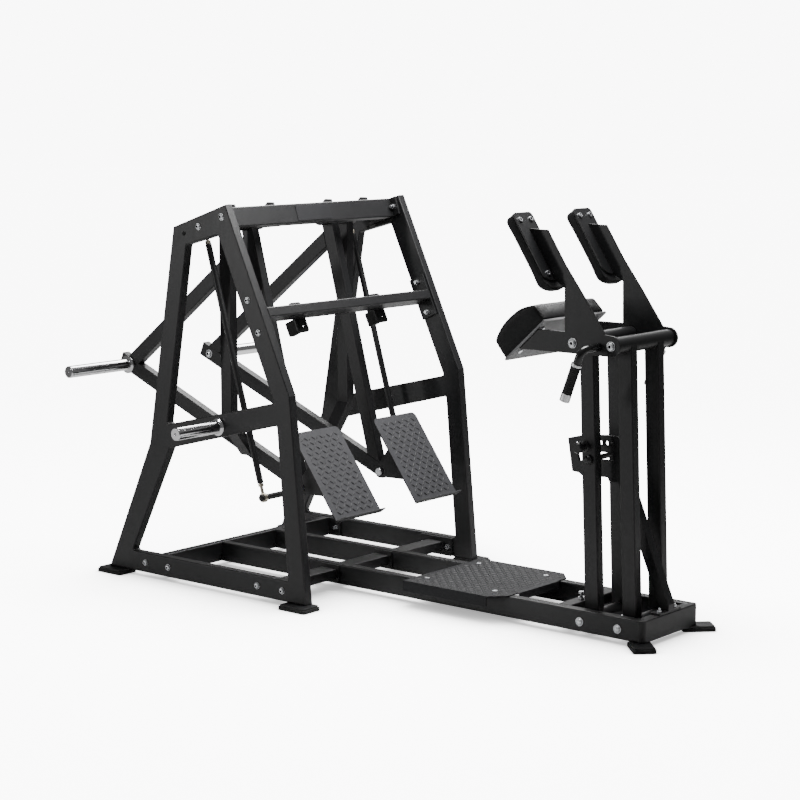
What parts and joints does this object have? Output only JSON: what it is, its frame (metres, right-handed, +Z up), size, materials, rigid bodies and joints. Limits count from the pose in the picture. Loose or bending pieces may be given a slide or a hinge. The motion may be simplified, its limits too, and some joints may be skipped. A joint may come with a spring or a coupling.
{
  "type": "leg press machine",
  "caption": "Standing plate-loaded leg press: trapezoid frame, swinging weight arms with self-levelling foot plates, and a tilting tower with chest and shoulder pads.",
  "frame": {"origin": "bottom centre of the bounding box, on the floor", "axes": "+X from the weight arms at the back towards the pad tower at the front (the longest extent), +Z up, +Y to the left of a user who faces the weight arms' frame from behind it, looking along +X"},
  "size_m": [2.6718, 1.545, 1.5286],
  "materials": {
    "black_paint": "satin black powder coat",
    "handle_paint": "gloss black paint",
    "chrome_sleeve": "polished hard chrome",
    "zinc_hardware": "bright zinc plate",
    "brushed_aluminium": "turned aluminium",
    "badge_blank": "blank satin plate",
    "black_rubber": "moulded black rubber",
    "black_vinyl": "black upholstery vinyl over foam",
    "grey_board": "light grey textured paint",
    "black_bolt": "black oxide",
    "tread_grey": "raised grip pattern, grey coat",
    "tread_dark": "raised grip pattern, dark coat"
  },
  "bodies": {
    "frame": {"left_side_frame": "black_paint", "right_side_frame": "black_paint", "frame_fasteners": "zinc_hardware", "storage_horns": "chrome_sleeve", "top_beam": "black_paint", "badge_plate": "badge_blank", "pivot_lugs": "black_paint", "arm_pivot_pins": "zinc_hardware", "rod_upper_studs": "zinc_hardware", "mid_beam": "black_paint", "bump_stop_brackets": "black_paint", "bump_stop_rubbers": "black_rubber", "rear_base_beam": "black_paint", "front_base_beam": "black_paint", "base_rails": "black_paint", "base_end_beam": "black_paint", "base_cross_member": "black_paint", "base_fasteners": "zinc_hardware", "foot_rubbers": "black_rubber", "foot_plates": "black_paint", "standing_plate": "tread_dark", "tower_pivot_bolts": "zinc_hardware", "sector_plate": "black_paint", "sector_brace": "black_paint"},
    "front_post_pair": {"front_posts": "black_paint", "post_hardware": "black_bolt"},
    "rear_post_pair": {"rear_posts": "black_paint"},
    "head": {"cheek_plates": "black_paint", "chest_back_plate": "grey_board", "shoulder_pad_plates": "black_paint", "chest_pad": "black_vinyl", "shoulder_pads": "black_vinyl", "pad_bolts": "zinc_hardware", "handles": "handle_paint", "handle_grips": "black_rubber", "grip_rings": "brushed_aluminium", "head_pivot_bolts": "zinc_hardware"},
    "index_pin": {"pull_pin": "black_bolt"},
    "right_arm": {"right_arm_pivot_tube": "black_paint", "right_arm_front_post": "black_paint", "right_arm_rear_brace": "black_paint", "right_arm_lower_bar": "black_paint", "right_arm_outer_post": "black_paint", "right_arm_horn": "chrome_sleeve", "right_arm_fasteners": "zinc_hardware"},
    "right_foot": {"right_foot_tread": "tread_grey", "right_foot_bracket": "black_paint"},
    "right_rod": {"right_rod_tube": "black_paint", "right_rod_ends": "zinc_hardware"},
    "left_arm": {"left_arm_pivot_tube": "black_paint", "left_arm_front_post": "black_paint", "left_arm_rear_brace": "black_paint", "left_arm_lower_bar": "black_paint", "left_arm_outer_post": "black_paint", "left_arm_horn": "chrome_sleeve", "left_arm_fasteners": "zinc_hardware"},
    "left_foot": {"left_foot_tread": "tread_grey", "left_foot_bracket": "black_paint"},
    "left_rod": {"left_rod_tube": "black_paint", "left_rod_ends": "zinc_hardware"}
  },
  "joints": [
    {"name": "right_arm_swing", "type": "hinge", "parent": "frame", "child": "right_arm", "pos_m": [-0.5825, -0.24, 1.44], "axis": [0, 1, 0], "range_deg": [-10.8, 22]},
    {"name": "right_foot_level", "type": "hinge", "parent": "right_arm", "child": "right_foot", "pos_m": [-0.2805, -0.24, 0.406], "axis": [0, 1, 0], "range_deg": [-22, 10.8]},
    {"name": "right_rod_swing", "type": "hinge", "parent": "frame", "child": "right_rod", "pos_m": [-0.6345, -0.432, 1.419], "axis": [0, 1, 0], "range_deg": [-10.8, 22]},
    {"name": "left_arm_swing", "type": "hinge", "parent": "frame", "child": "left_arm", "pos_m": [-0.5825, 0.24, 1.44], "axis": [0, 1, 0], "range_deg": [-10.8, 22]},
    {"name": "left_foot_level", "type": "hinge", "parent": "left_arm", "child": "left_foot", "pos_m": [-0.2805, 0.24, 0.406], "axis": [0, 1, 0], "range_deg": [-22, 10.8]},
    {"name": "left_rod_swing", "type": "hinge", "parent": "frame", "child": "left_rod", "pos_m": [-0.6345, 0.432, 1.419], "axis": [0, 1, 0], "range_deg": [-10.8, 22]},
    {"name": "tower_tilt", "type": "hinge", "parent": "frame", "child": "front_post_pair", "pos_m": [0.9975, 0, 0.057], "axis": [0, 1, 0], "range_deg": [-9.6, 2.4]},
    {"name": "rear_post_tilt", "type": "hinge", "parent": "frame", "child": "rear_post_pair", "pos_m": [1.1605, 0, 0.057], "axis": [0, 1, 0], "range_deg": [-9.6, 2.4]},
    {"name": "head_level", "type": "hinge", "parent": "front_post_pair", "child": "head", "pos_m": [0.9575, 0, 1.068], "axis": [0, 1, 0], "range_deg": [-2.4, 9.6]},
    {"name": "index_pin_pull", "type": "slide", "parent": "front_post_pair", "child": "index_pin", "axis": [0, 1, 0], "range_m": [0, 0.018]}
  ],
  "couplings": [
    {"joint": "right_foot_level", "follows": "right_arm_swing", "ratio": -1},
    {"joint": "right_rod_swing", "follows": "right_arm_swing", "ratio": 1},
    {"joint": "left_foot_level", "follows": "left_arm_swing", "ratio": -1},
    {"joint": "left_rod_swing", "follows": "left_arm_swing", "ratio": 1},
    {"joint": "rear_post_tilt", "follows": "tower_tilt", "ratio": 1},
    {"joint": "head_level", "follows": "tower_tilt", "ratio": -1}
  ]
}
